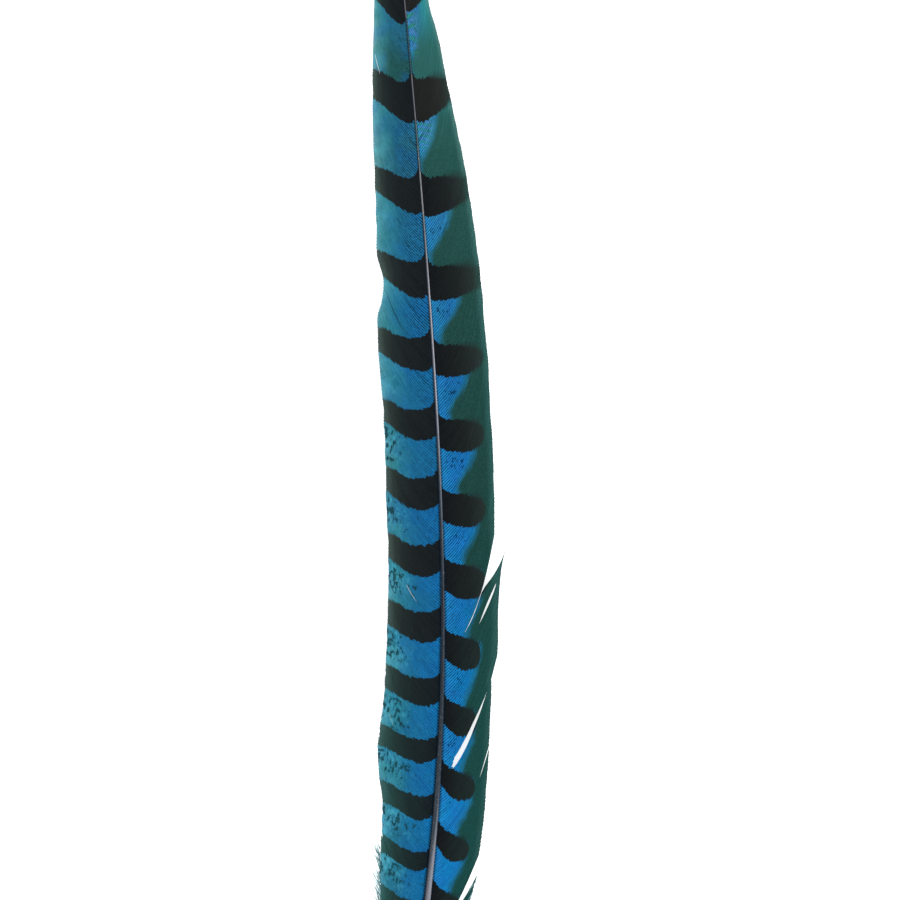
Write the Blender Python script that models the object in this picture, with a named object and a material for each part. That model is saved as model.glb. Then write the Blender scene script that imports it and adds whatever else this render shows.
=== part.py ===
"""A pheasant tail feather lying on its underside: the shaft, its two webs and the two tufts of down at its foot.

Stations are measured in millimetres down the shaft from the feather's tip. The feather lies along Y with its tip
towards +Y, the face that shows is up, and the table is z = 0. Left and right are as seen from above.
"""

import math

import bmesh
import bpy
import numpy as np
from mathutils import Vector

MM = 0.001

# The shaft: (station, value) points, in mm and degrees
LENGTH = 415.0  # from the tip of the web to the end of the quill
SHAFT_TOP = 7.0  # where the shaft's thin end is lost in the web
LEAN = [(0, 5.8), (60, 5.5), (120, 4.5), (165, 3.7), (225, 1.3), (300, -3.8), (345, -5.6), (415, -5.8)]  # left of +Y
SHAFT_WIDTH = [(0, 0.34), (60, 0.48), (135, 0.66), (240, 1.2), (330, 2.15), (378, 3.0), (402, 2.9), (415, 1.1)]
SHAFT_HEIGHT = [(0, 0.36), (60, 0.55), (135, 0.8), (240, 1.35), (330, 2.2), (378, 3.0), (402, 2.9), (415, 1.2)]
UNDERSIDE = [
    (0, 0.1), (60, 0.7), (110, 1.9), (160, 3.3), (215, 4.1), (262, 3.5),
    (305, 1.8), (345, 0.3), (362, 0), (408, 0), (415, 0.7),
]  # how high the shaft's underside stands over the table
GROOVE = [(0, 0.1), (330, 0.18), (366, 0.16), (376, 0)]  # the furrow under the shaft, as a share of its height
SQUARENESS = 2.5  # power of the shaft's section: 2 is an ellipse, more is squarer
WEB_LEVEL = 0.7  # how far up the shaft's side its barbs leave it, as a share of its height
RING_POINTS = 20
RING_STEP = 6.0
QUILL_END = (9.0, 6.0, 3.5, 1.5, 0.0)  # the last rings, counted back from the end of the quill

# The webs: (station, half width) points in mm, out from the shaft's middle line
LEFT_EDGE = [
    (0, 0.5), (5, 2.6), (60, 9.3), (90, 12.1), (140, 14.5), (165, 16.2),
    (250, 16.9), (285, 18.3), (304, 16.0), (330, 14.4), (415, 12),
]
RIGHT_EDGE = [
    (0, 0.5), (5, 2.4), (60, 7.5), (90, 11), (120, 14.4), (150, 15.6),
    (245, 15.4), (268, 14.2), (312, 13.7), (330, 12.2), (415, 11),
]
DOWN_EDGE = [(0, 14), (335, 13), (362, 11), (384, 6), (415, 4)]
WEB_ROOTS = (8.0, 350.0)  # stations of the first and the last barb of a web
DOWN_ROOTS = (353.0, 383.0)
WEB_THICKNESS = 0.5
DOWN_THICKNESS = 1.4
SEAM = 0.3  # clear gap between the shaft and what grows from it
DROOP = 0.0116  # per mm: a web falls away from the shaft by DROOP times its distance squared
SETTLE = 0.15  # mm over which a web that meets the table turns flat

# A barb leaves the shaft steeply and bends towards the tip: (station, degrees from the shaft) points
ROOT_ANGLE = [(0, 30), (60, 38), (150, 48), (350, 52)]
TIP_ANGLE = [(0, 9), (60, 14), (150, 18), (415, 22)]
BEND = 1.5
BARB_STEPS = 10
ROW_STEP = 7.0

# Splits in the right web: the root of the barbs that part, where along them the gap opens and closes, its width
SPLITS = [
    {"root": 262.0, "opens": 0.4, "closes": 1.0, "width": 2.4, "open_end": True},
    {"root": 299.0, "opens": 0.3, "closes": 0.9, "width": 1.9, "open_end": False},
    {"root": 345.0, "opens": 0.6, "closes": 1.0, "width": 1.5, "open_end": True},
]
SPLIT_REACH = 14.0  # mm of root over which the barbs beside a split are pushed aside
SPLIT_SLANT = math.radians(25)  # the push is square to barbs that run this far off the shaft's line
BLUNT_END = 0.15  # share of a closed slot over which its inner end rounds off


def curve_through(points):
    """A function that runs through (station, value) points on cubic spans and never overshoots them."""
    x, y = np.array(points, float).T
    step = np.diff(x)
    slope = np.diff(y) / step
    before, after = slope[:-1], slope[1:]
    total = np.where(before + after == 0, 1, before + after)
    tangent = np.concatenate([slope[:1], np.where(before * after > 0, 2 * before * after / total, 0), slope[-1:]])

    def value(at):
        at = np.clip(at, x[0], x[-1])
        i = np.clip(np.searchsorted(x, at, side="right") - 1, 0, len(x) - 2)
        t = (at - x[i]) / step[i]
        ends = (2 * t**3 - 3 * t**2 + 1) * y[i] + (3 * t**2 - 2 * t**3) * y[i + 1]
        return ends + step[i] * ((t**3 - 2 * t**2 + t) * tangent[i] + (t**3 - t**2) * tangent[i + 1])

    return value


lean = curve_through(LEAN)
shaft_width = curve_through(SHAFT_WIDTH)
shaft_height = curve_through(SHAFT_HEIGHT)
underside = curve_through(UNDERSIDE)
groove = curve_through(GROOVE)
root_angle = curve_through(ROOT_ANGLE)
tip_angle = curve_through(TIP_ANGLE)

STATIONS = np.arange(0.0, LENGTH + 0.5, 0.5)


def shaft_line():
    """The shaft's middle line in plan at STATIONS, summed up from the way it leans."""
    turn = np.radians(lean(STATIONS))
    step = np.diff(STATIONS, prepend=0)
    return np.cumsum(np.sin(turn) * step), -np.cumsum(np.cos(turn) * step)


LINE_X, LINE_Y = shaft_line()


def on_plan(station, across):
    """The point on the plan that lies across mm to the right of the shaft's line at a station."""
    turn = np.radians(lean(station))
    x = np.interp(station, STATIONS, LINE_X) + across * np.cos(turn)
    y = np.interp(station, STATIONS, LINE_Y) + across * np.sin(turn)
    return x, y


def web_height(station, across):
    """Height of a web's middle surface: it droops from the shaft and turns flat where it meets the table."""
    fall = underside(station) + WEB_LEVEL * shaft_height(station) - DROOP * across**2 - WEB_THICKNESS / 2
    return WEB_THICKNESS / 2 + (fall + np.sqrt(fall**2 + SETTLE**2)) / 2


def barb_shape(root, t):
    """(across, along) of a barb as shares of its length, at shares t of it, summed from its angle to the shaft."""
    fine = np.linspace(0, 1, 101)
    tip, start = math.radians(tip_angle(root)), math.radians(root_angle(root))
    angle = tip + (start - tip) * (1 - fine) ** BEND
    across = np.concatenate([[0], np.cumsum((np.sin(angle[1:]) + np.sin(angle[:-1])) / 2)]) / 100
    along = np.concatenate([[0], np.cumsum((np.cos(angle[1:]) + np.cos(angle[:-1])) / 2)]) / 100
    return np.interp(t, fine, across), np.interp(t, fine, along)


def barb_length(root, edge):
    """The length at which a barb from this root ends on the web's edge, found by halving."""
    across, along = barb_shape(root, 1.0)
    start = shaft_width(root) / 2 + SEAM
    low, high = 0.5, 90.0
    for _ in range(40):
        length = (low + high) / 2
        outside = start + length * across > edge(root - length * along)
        low, high = (low, length) if outside else (length, high)
    return low


def split_gap(split, t):
    """The width of a split at shares t of its barbs: a long V, or a slot with a blunt inner end."""
    u = np.clip((t - split["opens"]) / (split["closes"] - split["opens"]), 0, 1)
    if split["open_end"]:
        return split["width"] * u**1.3
    return split["width"] * (1 - u) * np.minimum(1, u / BLUNT_END)


def barb_line(root, edge, t, splits, beyond):
    """Stations and distances of one barb. Splits push it sideways: beyond is the split it lies just past, or None."""
    across, along = barb_shape(root, t)
    length = barb_length(root, edge)
    out, up = shaft_width(root) / 2 + SEAM + length * across, length * along
    for split in splits:
        past = root > split["root"] or beyond is split
        share = 0.5 * math.exp(-abs(root - split["root"]) / SPLIT_REACH)
        push = share * split_gap(split, t) * (1 if past else -1)
        out, up = out + push * math.cos(SPLIT_SLANT), up - push * math.sin(SPLIT_SLANT)
    return root - up, out


def web_rows(first, last, splits):
    """Roots of a web's barb rows. A split has two rows at one root, so that the web can part between them."""
    count = round((last - first) / ROW_STEP)
    rows = [(float(r), None) for r in np.linspace(first, last, count + 1)]
    for split in splits:
        rows = [row for row in rows if abs(row[0] - split["root"]) > 0.4 * ROW_STEP]
        rows += [(split["root"], None), (split["root"], split)]
    return sorted(rows, key=lambda row: (row[0], row[1] is not None))


def make_web(name, side, roots, edge_points, thickness, splits, material):
    """One web or tuft: rows of points along its barbs, skinned row to row and thickened. Side is 1 right, -1 left."""
    edge = curve_through(edge_points)
    marks = [0, 1] + [split[key] for split in splits for key in ("opens", "closes")]
    t = np.unique(np.round(np.concatenate([np.linspace(0, 1, BARB_STEPS + 1), marks]), 3))
    mesh = bmesh.new()
    rows = []
    for root, beyond in web_rows(*roots, splits):
        station, across = barb_line(root, edge, t, splits, beyond)
        x, y = on_plan(station, side * across)
        z = web_height(station, across) + (thickness - WEB_THICKNESS) / 2
        points = zip(x * MM, y * MM, z * MM)
        rows.append((beyond, [mesh.verts.new(p) for p in points]))
    for (_, upper), (beyond, lower) in zip(rows, rows[1:]):
        if beyond is not None:
            continue
        for i in range(len(t) - 1):
            corners = [upper[i], lower[i], lower[i + 1], upper[i + 1]]
            mesh.faces.new(corners if side > 0 else corners[::-1])
    bmesh.ops.remove_doubles(mesh, verts=mesh.verts, dist=1e-6)
    web = finished(name, mesh, material)
    thicken = web.modifiers.new("Thickness", "SOLIDIFY")
    thicken.thickness = thickness * MM
    thicken.offset = 0
    return web


def shaft_ring(mesh, station):
    """One section of the shaft: a squarish oval with a furrow under it, standing on the underside's height."""
    angle = (np.arange(RING_POINTS) + 0.5) * 2 * np.pi / RING_POINTS
    sine, cosine = np.sin(angle), np.cos(angle)
    power = 2 / SQUARENESS
    across = np.sign(cosine) * np.abs(cosine) ** power * shaft_width(station) / 2
    rise = np.sign(sine) * np.abs(sine) ** power
    rise = (rise - rise.min()) / (rise.max() - rise.min())
    middle = (sine < 0) & (np.abs(cosine) < 0.2)
    rise = np.where(middle, groove(station), rise)
    x, y = on_plan(station, across)
    z = underside(station) + rise * shaft_height(station)
    return [mesh.verts.new(p) for p in zip(x * MM, y * MM, z * MM)]


def make_shaft(material):
    """The shaft: rings from its hair-thin top to the rounded end of the quill, closed at both ends."""
    mesh = bmesh.new()
    count = round((LENGTH - SHAFT_TOP) / RING_STEP)
    stations = [*np.linspace(SHAFT_TOP, LENGTH - QUILL_END[0], count), *(LENGTH - np.array(QUILL_END[1:]))]
    rings = [shaft_ring(mesh, float(s)) for s in stations]
    for upper, lower in zip(rings, rings[1:]):
        for i in range(RING_POINTS):
            j = (i + 1) % RING_POINTS
            mesh.faces.new([upper[i], upper[j], lower[j], lower[i]])
    mesh.faces.new(rings[0][::-1])
    mesh.faces.new(rings[-1])
    bmesh.ops.recalc_face_normals(mesh, faces=mesh.faces)
    return finished("shaft", mesh, material)


def finished(name, mesh, material):
    """A named object, smooth where its faces meet softly, from a finished bmesh."""
    data = bpy.data.meshes.new(name)
    mesh.to_mesh(data)
    mesh.free()
    data.shade_smooth()
    data.set_sharp_from_angle(angle=math.radians(40))
    data.materials.append(material)
    made = bpy.data.objects.new(name, data)
    bpy.context.scene.collection.objects.link(made)
    return made


def make_material(name, colour, roughness):
    material = bpy.data.materials.new(name)
    material.use_nodes = True
    surface = material.node_tree.nodes["Principled BSDF"]
    surface.inputs["Base Color"].default_value = (*colour, 1)
    surface.inputs["Roughness"].default_value = roughness
    surface.inputs["Metallic"].default_value = 0
    return material


def stand_at_origin(objects):
    """Moves everything so that the middle of its box lies over the origin and its lowest point is at z = 0."""
    bpy.context.view_layer.update()
    graph = bpy.context.evaluated_depsgraph_get()
    corners = np.array([corner for o in objects for corner in o.evaluated_get(graph).bound_box])
    low, high = corners.min(0), corners.max(0)
    for o in objects:
        o.location = Vector((-(low[0] + high[0]) / 2, -(low[1] + high[1]) / 2, -low[2]))


def main():
    for old in list(bpy.data.objects):
        bpy.data.objects.remove(old)
    horn = make_material("horn", (0.12, 0.14, 0.17), 0.4)
    mottled = make_material("mottled_web", (0.03, 0.17, 0.30), 0.55)
    edged = make_material("edged_web", (0.02, 0.10, 0.17), 0.55)
    fluff = make_material("down", (0.25, 0.42, 0.48), 0.9)
    feather = [
        make_shaft(horn),
        make_web("left_web", -1, WEB_ROOTS, LEFT_EDGE, WEB_THICKNESS, [], mottled),
        make_web("right_web", 1, WEB_ROOTS, RIGHT_EDGE, WEB_THICKNESS, SPLITS, edged),
        make_web("left_down", -1, DOWN_ROOTS, DOWN_EDGE, DOWN_THICKNESS, [], fluff),
        make_web("right_down", 1, DOWN_ROOTS, DOWN_EDGE, DOWN_THICKNESS, [], fluff),
    ]
    stand_at_origin(feather)


main()
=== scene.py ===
"""A dyed tail feather of a pheasant on a pale table, seen from above.

Every barb is a thin strip of its own. The dark bars, the green margin and the mottling are worked out from
where a point lies on its barb. The making is in millimetres: a station counts down the shaft from the
feather's tip, and a distance counts out from the shaft's middle line. Left and right are as seen from above,
with the tip away from you. A side is -1 for the left and 1 for the right.
"""

import math

import bpy
import numpy as np
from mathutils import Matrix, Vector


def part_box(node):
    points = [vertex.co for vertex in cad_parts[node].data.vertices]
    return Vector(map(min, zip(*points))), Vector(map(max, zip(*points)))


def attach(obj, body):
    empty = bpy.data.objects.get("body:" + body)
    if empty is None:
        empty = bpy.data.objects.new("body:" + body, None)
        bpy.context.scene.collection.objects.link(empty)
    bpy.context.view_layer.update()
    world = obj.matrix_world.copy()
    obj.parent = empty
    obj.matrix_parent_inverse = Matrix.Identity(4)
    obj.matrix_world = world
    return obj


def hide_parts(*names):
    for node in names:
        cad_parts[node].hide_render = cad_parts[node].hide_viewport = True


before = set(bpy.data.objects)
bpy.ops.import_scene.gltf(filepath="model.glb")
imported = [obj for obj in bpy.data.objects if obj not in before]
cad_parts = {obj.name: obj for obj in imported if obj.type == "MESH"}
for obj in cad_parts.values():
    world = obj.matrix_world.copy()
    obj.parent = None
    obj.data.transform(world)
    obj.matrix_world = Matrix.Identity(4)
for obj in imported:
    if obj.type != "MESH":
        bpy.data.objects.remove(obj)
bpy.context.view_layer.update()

MM = 0.001

# The shaft, as (station, value) points in mm and degrees
LENGTH = 415.0
SHAFT_TOP = 4.5  # station above which the shaft is too thin to tell from the barbs
LEAN = [
    (0, 5.8), (60, 5.5), (120, 4.5), (165, 3.7), (225, 1.3), (290, -3.25),
    (303, -4.4), (324, -6.0), (340, -6.0), (385, -5.0), (415, -5.1),
]  # degrees to the left of +Y, going up the shaft
SHAFT_WIDTH = [
    (0, 0.34), (60, 0.48), (135, 0.66), (240, 1.2), (330, 2.15), (378, 3.0), (402, 2.9), (415, 1.1),
]
SHAFT_HEIGHT = [
    (0, 0.36), (60, 0.55), (135, 0.8), (240, 1.35), (330, 2.2), (378, 3.0), (402, 2.9), (415, 1.2),
]
UNDERSIDE = [
    (0, 0.1), (60, 0.7), (110, 1.9), (160, 3.3), (215, 4.1), (262, 3.5),
    (305, 1.8), (345, 0.3), (362, 0), (408, 0), (415, 0.7),
]  # how high the shaft's underside stands over the table
GROOVE = [
    (0, 0.1), (330, 0.18), (366, 0.16), (376, 0.02), (415, 0.02),
]  # depth of the furrow below, as a share of the shaft's height
SQUARENESS = 2.5  # power of the shaft's section: 2 is an ellipse, more is squarer
WEB_LEVEL = 0.7  # how far up the shaft's side its barbs leave it, as a share of its height
DROOP = 0.0116  # per mm: a web falls away from the shaft by DROOP times its distance squared
WEB_THICKNESS = 0.5
SETTLE = 0.15  # mm over which a web that meets the table turns flat

# The webs' outlines, as (station, half width) points
LEFT_EDGE = [
    (0, 0.1), (3, 1.5), (6, 2.5), (30, 6.1), (60, 9.4), (84, 12.1), (105, 13.6), (115, 13.9), (125, 14.5),
    (134, 14.9), (142, 13.6), (147, 14.1), (152, 15.7), (157, 16.4), (165, 16.7), (178, 16.2), (198, 16.3),
    (210, 16.6), (222, 16.4), (236, 16.6), (250, 17.1), (264, 17.5), (279, 18.5), (285, 19.1), (293, 18.2),
    (302, 16.5), (318, 16.0), (330, 14.6), (352, 12.9), (380, 9),
]
RIGHT_EDGE = [
    (0, 0.1), (3, 1.4), (6, 2.3), (30, 5.0), (60, 7.3), (70, 9.1), (84, 10.6), (95, 11.9), (105, 13.2),
    (120, 14.6), (131, 15.3), (140, 15.9), (160, 16.3), (165, 16.5), (188, 16.4), (200, 16.5), (207, 16.4),
    (213, 16.2), (219, 16.0), (224, 16.0), (231, 15.5), (240, 13.8), (270, 12),
]
SPLIT_ROOT = 257.0  # station where the barbs on either side of the big split leave the shaft
RIGHT_EDGE_LOW = [
    (222, 12.6), (224.5, 15.0), (226.5, 15.3), (233, 15.4), (241, 15.6), (250, 16.2), (259, 15.8),
    (263, 14.8), (268, 15.0), (280, 14.9), (300, 15.0), (312, 14.5), (320, 14.1), (330, 13.2),
    (352, 11.5), (380, 8),
]  # below the big split
SPLIT_MOUTH = (224, 245)  # stations between which the big split spoils the right web's edge
FOOT_ROOT = 342.3  # station where the barbs on either side of the last split leave the shaft
RIGHT_EDGE_FOOT = [
    (319, 10.2), (321.6, 12.5), (324.6, 12.7), (327, 12.5), (330, 12.4), (336, 12.4), (352, 11.5), (380, 8),
]  # below the last split

# A barb leaves the shaft steeply and bends towards the tip: (station, degrees from the shaft) points
ROOT_ANGLE = [(0, 2), (9, 6), (26, 28), (60, 38), (150, 48), (250, 52), (350, 52)]
TIP_ANGLE = {
    -1: [(0, 0), (9, 1.5), (60, 7), (100, 7), (150, 14), (200, 18), (250, 19), (350, 21)],
    1: [(0, 0), (9, 1.5), (60, 9), (150, 11), (250, 12.5), (310, 13), (350, 18)],
}
BEND = {-1: 1.9, 1: 2.8}  # how soon it bends, on the left and on the right
BARB_STEP = 0.93  # mm between barbs along the shaft
FIRST_ROOT, LAST_ROOT = 8.0, 359.0


def curve_through(points):
    """A function that runs through (x, y) points on cubic spans and never overshoots them."""
    x, y = np.array(points, float).T
    step = np.diff(x)
    slope = np.diff(y) / step
    before, after = slope[:-1], slope[1:]
    total = np.where(before + after == 0, 1, before + after)
    inner = np.where(before * after > 0, 2 * before * after / total, 0)
    tangent = np.concatenate([slope[:1], inner, slope[-1:]])

    def value(at):
        at = np.clip(at, x[0], x[-1])
        i = np.clip(np.searchsorted(x, at, side="right") - 1, 0, len(x) - 2)
        t = (at - x[i]) / step[i]
        ends = (2 * t**3 - 3 * t**2 + 1) * y[i] + (3 * t**2 - 2 * t**3) * y[i + 1]
        return ends + step[i] * ((t**3 - 2 * t**2 + t) * tangent[i] + (t**3 - t**2) * tangent[i + 1])

    return value


lean = curve_through(LEAN)
shaft_width = curve_through(SHAFT_WIDTH)
shaft_height = curve_through(SHAFT_HEIGHT)
underside = curve_through(UNDERSIDE)
groove = curve_through(GROOVE)
root_angle = curve_through(ROOT_ANGLE)
tip_angle = {side: curve_through(points) for side, points in TIP_ANGLE.items()}


# ---------------------------------------------------------------- where things lie on the plan

STATIONS = np.arange(0.0, LENGTH + 0.5, 0.5)


def shaft_line():
    """The shaft's middle line in plan at STATIONS: the running sum of the way it leans."""
    turn = np.radians(lean(STATIONS))
    step = np.diff(STATIONS, prepend=0)
    return np.cumsum(np.sin(turn) * step), -np.cumsum(np.cos(turn) * step)


LINE_X, LINE_Y = shaft_line()


def on_plan(station, across):
    """The plan point that lies across mm to the right of the shaft's line, square to it, at a station."""
    turn = np.radians(lean(station))
    x = np.interp(station, STATIONS, LINE_X) + across * np.cos(turn)
    y = np.interp(station, STATIONS, LINE_Y) + across * np.sin(turn)
    return x, y


def shift_to_frame():
    """How far the plan moves, in mm, to put the lowest corner of its shaft on that of the frame's shaft."""
    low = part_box("shaft")[0]
    sides = [on_plan(STATIONS, side * shaft_width(STATIONS) / 2) for side in (-1, 1)]
    return low.x / MM - min(x.min() for x, _ in sides), low.y / MM - min(y.min() for _, y in sides)


SHIFT_X, SHIFT_Y = shift_to_frame()


def place(station, across, height):
    """Points in metres, in the frame, from stations, distances to the right and heights over the table."""
    x, y = on_plan(station, across)
    return np.stack(np.broadcast_arrays(x + SHIFT_X, y + SHIFT_Y, height), axis=-1) * MM


def web_height(station, distance):
    """Height of the middle of a web's thickness, in mm.

    It falls by the square of the distance from the shaft and turns flat where it meets the table: the smooth
    greater of the fall and nothing is half the sum of the fall and the root of its square plus SETTLE's."""
    fall = underside(station) + WEB_LEVEL * shaft_height(station) - DROOP * distance**2 - WEB_THICKNESS / 2
    return WEB_THICKNESS / 2 + (fall + np.sqrt(fall**2 + SETTLE**2)) / 2


# ---------------------------------------------------------------- meshes from arrays


def mesh_from(name, points, faces, material):
    """An object from an array of points and a list of arrays of faces, each array with faces of one size."""
    data = bpy.data.meshes.new(name)
    sizes = np.concatenate([np.full(len(f), f.shape[1]) for f in faces])
    corners = np.concatenate([f.ravel() for f in faces])
    data.vertices.add(len(points))
    data.vertices.foreach_set("co", points.astype(np.float32).ravel())
    data.loops.add(len(corners))
    data.loops.foreach_set("vertex_index", corners.astype(np.int32))
    data.polygons.add(len(sizes))
    data.polygons.foreach_set("loop_start", (np.cumsum(sizes) - sizes).astype(np.int32))
    data.polygons.foreach_set("use_smooth", np.ones(len(sizes), bool))
    data.update(calc_edges=True)
    data.materials.append(material)
    made = bpy.data.objects.new(name, data)
    bpy.context.scene.collection.objects.link(made)
    return made


def skin_faces(strands, rings, sides, flip):
    """Faces of closed strands whose points run by strand, ring and side: the walls, then the end caps."""
    index = np.arange(strands * rings * sides).reshape(strands, rings, sides)
    near, far = index[:, :-1], index[:, 1:]
    wall = np.stack([near, np.roll(near, -1, 2), np.roll(far, -1, 2), far], axis=-1).reshape(-1, 4)
    caps = np.concatenate([index[:, 0, ::-1], index[:, -1]])
    return [wall[:, ::-1], caps[:, ::-1]] if flip else [wall, caps]


ROW_MARGIN = 0.05  # share of a strand's row that is left free on each side of it
WALL_ENDS = (0.02, 0.98)  # where a strand's wall starts and ends along its row
CAP_PLACES = (0.01, 0.99)
CAP_REACH = (0.008, 0.4)  # half size of a cap along the row, and across it as a share of the row


def bake_layout(strands, rings, sides):
    """A flat layout for the corners of skin_faces: each strand is a row of its own, as long as the sheet.

    Its wall is a grid of rings by sides, and its caps are small ovals beyond the wall's two ends."""
    row = 1 / strands
    low = np.arange(strands)[:, None, None] * row
    along = np.linspace(*WALL_ENDS, rings)
    u0 = np.broadcast_to(along[:-1, None], (strands, rings - 1, sides))
    u1 = np.broadcast_to(along[1:, None], (strands, rings - 1, sides))
    used = 1 - 2 * ROW_MARGIN
    v0 = low + (ROW_MARGIN + used * np.arange(sides) / sides) * row
    v0 = np.broadcast_to(v0, (strands, rings - 1, sides))
    v1 = v0 + used / sides * row
    wall = np.stack([u0, v0, u0, v1, u1, v1, u1, v0], axis=-1).reshape(-1, 2)
    turn = np.arange(sides) * 2 * np.pi / sides
    cap = np.stack([CAP_REACH[0] * np.cos(turn), CAP_REACH[1] * row * np.sin(turn)], axis=-1)
    middles = low[:, 0, 0] + row / 2
    caps = [np.stack([cap[:, 0] + x, cap[:, 1] + y], axis=-1) for x in CAP_PLACES for y in middles]
    return np.concatenate([wall, np.concatenate(caps)])


def store(piece, name, value):
    """Stores a number, or three, on each of a piece's points."""
    vectors = value.ndim > 1 and value.shape[-1] == 3
    attribute = piece.data.attributes.new(name, "FLOAT_VECTOR" if vectors else "FLOAT", "POINT")
    attribute.data.foreach_set("vector" if vectors else "value", value.astype(np.float32).ravel())


def give(piece, layout, **values):
    """Stores values on a piece's points, by name, and the flat layout that its colours can be written on."""
    for name, value in values.items():
        store(piece, name, value)
    sheet = piece.data.uv_layers.new(name="OFBake")
    sheet.data.foreach_set("uv", layout.astype(np.float32).ravel())


def hand_over(piece, node=None):
    """Fixes a finished piece to the feather, and lets it stand for its node."""
    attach(piece, "root")
    if node:
        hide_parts(node)


def wander(at, seed, step):
    """A smooth random curve of about unit size: a sum of sines whose periods are near the step."""
    random = np.random.default_rng(seed)
    periods = step * random.uniform(0.6, 2.4, 5)
    phases = random.uniform(0, 2 * np.pi, 5)
    return sum(np.sin(2 * np.pi * at / p + f) for p, f in zip(periods, phases)) / 1.6


# ---------------------------------------------------------------- barbs

STEPS = 27
EVEN_STEPS = np.linspace(0, 1, STEPS + 1)
ALONG = (1 - np.cos(np.pi * EVEN_STEPS**0.95)) / 2  # shares of a barb's length, close together at its ends
# A barb's section, over the top and back below. Places run across it, from the tip's side to the foot's, and
# -1 and 1 are midway to the next barbs. Heights are in mm. The last is 1 for a point on the underside.
RING_PLACE = np.array([-1.35, -0.5, -0.15, 0.15, 0.5, 1.35, 0.8, 0.0, -0.8])
RING_HEIGHT = np.array([0.035, 0.025, 0.06, 0.06, 0.0, -0.05, -0.11, -0.2, -0.07])
RING_UNDER = np.array([0, 0, 0, 0, 0, 0, 1, 1, 1])

BARB_ROOT = 0.42  # barbs start this share of the shaft's width out from its middle, inside its side
BARB_RANGE = (0.5, 90.0)  # mm: no barb is shorter or longer
HALVINGS = 40
ROOT_SCATTER = 0.05  # mm
SWAY, SWAY_STEP = 0.25, 12  # mm that barbs wander along the shaft at their tips, and how often they do
LIFT, LIFT_STEP = 0.06, 6  # the same for their heights
COLOUR_SHIFT = 0.7  # share of a push outwards that a barb's colours move with it
TAPER = (0.9, 0.15, 0.7)  # a barb narrows over this many mm at its tip, to this share, by this power
RELIEF = 1.2  # how much a steep barb's section is raised
RELIEF_SPREAD = (0.5, 1.3)
CHANCE = 40  # how far apart the barbs' places in a noise are, in mm


def barb_shape(roots, side):
    """(across, along, angle) of barbs at ALONG, the first two as shares of their length.

    A barb's angle to the shaft runs from root_angle to tip_angle by the power BEND of the share that is still
    to come, and its place is the running sum of the angle's sine, across, and cosine, along the shaft."""
    start, tip = np.radians(root_angle(roots))[:, None], np.radians(tip_angle[side](roots))[:, None]
    angle = tip + (start - tip) * (1 - ALONG) ** BEND[side]
    step = np.diff(ALONG)
    none = np.zeros((len(roots), 1))
    across = np.cumsum((np.sin(angle[:, 1:]) + np.sin(angle[:, :-1])) / 2 * step, axis=1)
    along = np.cumsum((np.cos(angle[:, 1:]) + np.cos(angle[:, :-1])) / 2 * step, axis=1)
    return np.hstack([none, across]), np.hstack([none, along]), angle


def barb_lengths(roots, across, along, edge):
    """The length at which each barb ends on the web's edge, found by halving."""
    low, high = (np.full(len(roots), length) for length in BARB_RANGE)
    for _ in range(HALVINGS):
        length = (low + high) / 2
        outside = shaft_width(roots) / 2 + length * across[:, -1] > edge(roots - length * along[:, -1])
        low, high = np.where(outside, low, length), np.where(outside, length, high)
    return low


# Partings between barbs: (root station, mm of roots over which the push dies away, the push on the barbs
# above and on those below), where a push is (share of the barb, mm down and outwards) points
STILL = [(0, 0), (1, 0)]
SLIT_ABOVE, SLIT_BELOW = ([(0.7, 0), (0.8, s * 0.15), (0.94, s * 0.16), (1, s * 0.06)] for s in (-1, 1))
PARTINGS = {
    -1: [
        (100.6, 1.2, STILL, [(0.67, 0), (0.73, 0.24), (0.85, 0.24), (0.9, 0)]),
        (248.0, 1.2, STILL, [(0.28, 0), (0.36, 0.5), (0.5, 0.5), (0.58, 0)]),
        (297.2, 1.2, STILL, [(0.66, 0), (0.72, 0.32), (0.8, 0.36), (0.86, 0)]),
    ],
    1: [
        (
            SPLIT_ROOT, 15.0,
            [(0.14, 0), (0.26, -0.1), (0.45, -0.13), (0.6, 0), (0.8, 0.1), (1, 0.1)],
            [
                (0.2, 0), (0.3, 0.12), (0.5, 0.5), (0.6, 0.9), (0.7, 1.6),
                (0.77, 2.4), (0.85, 3.5), (0.92, 4.2), (1, 4.7),
            ],
        ),
        (
            SPLIT_ROOT, 2.5,
            STILL,
            [
                (0.3, 0), (0.4, -0.16), (0.5, -0.33), (0.6, -0.58), (0.64, -0.66),
                (0.68, -0.1), (0.77, 0.45), (0.85, 0.3), (1, 0.1),
            ],
        ),
        (263.2, 2.0, STILL, [(0.48, 0), (0.58, 0.7), (0.68, 1.1), (0.77, 0.9), (0.87, 0)]),
        (
            292.7, 5.0,
            [
                (0.08, 0), (0.2, -0.7), (0.3, -1.2), (0.42, -1.2),
                (0.55, -0.6), (0.7, 0.2), (0.8, 0.4), (1, 0.4),
            ],
            [(0.15, 0), (0.3, -0.6), (0.5, -1.0), (0.6, -0.8), (0.8, -0.6), (1, -0.5)],
        ),
        (315.0, 2.0, SLIT_ABOVE, SLIT_BELOW),
        (FOOT_ROOT, 8.0, STILL, [(0.3, 0), (0.45, 0.6), (0.6, 1.5), (0.75, 2.1), (1, 2.7)]),
    ],
}
# Broken barbs: (first root, last root, mm from the shaft's line where they end)
BROKEN = {-1: [], 1: [(291.3, 294.0, 4.6)]}
# What is usually worn off a barb's tip, in mm, where its root is at these stations
WEAR_STATIONS = (0, 320, 350)
WEAR = {-1: (0.15, 0.2, 0.9), 1: (0.15, 0.2, 0.3)}


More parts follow.
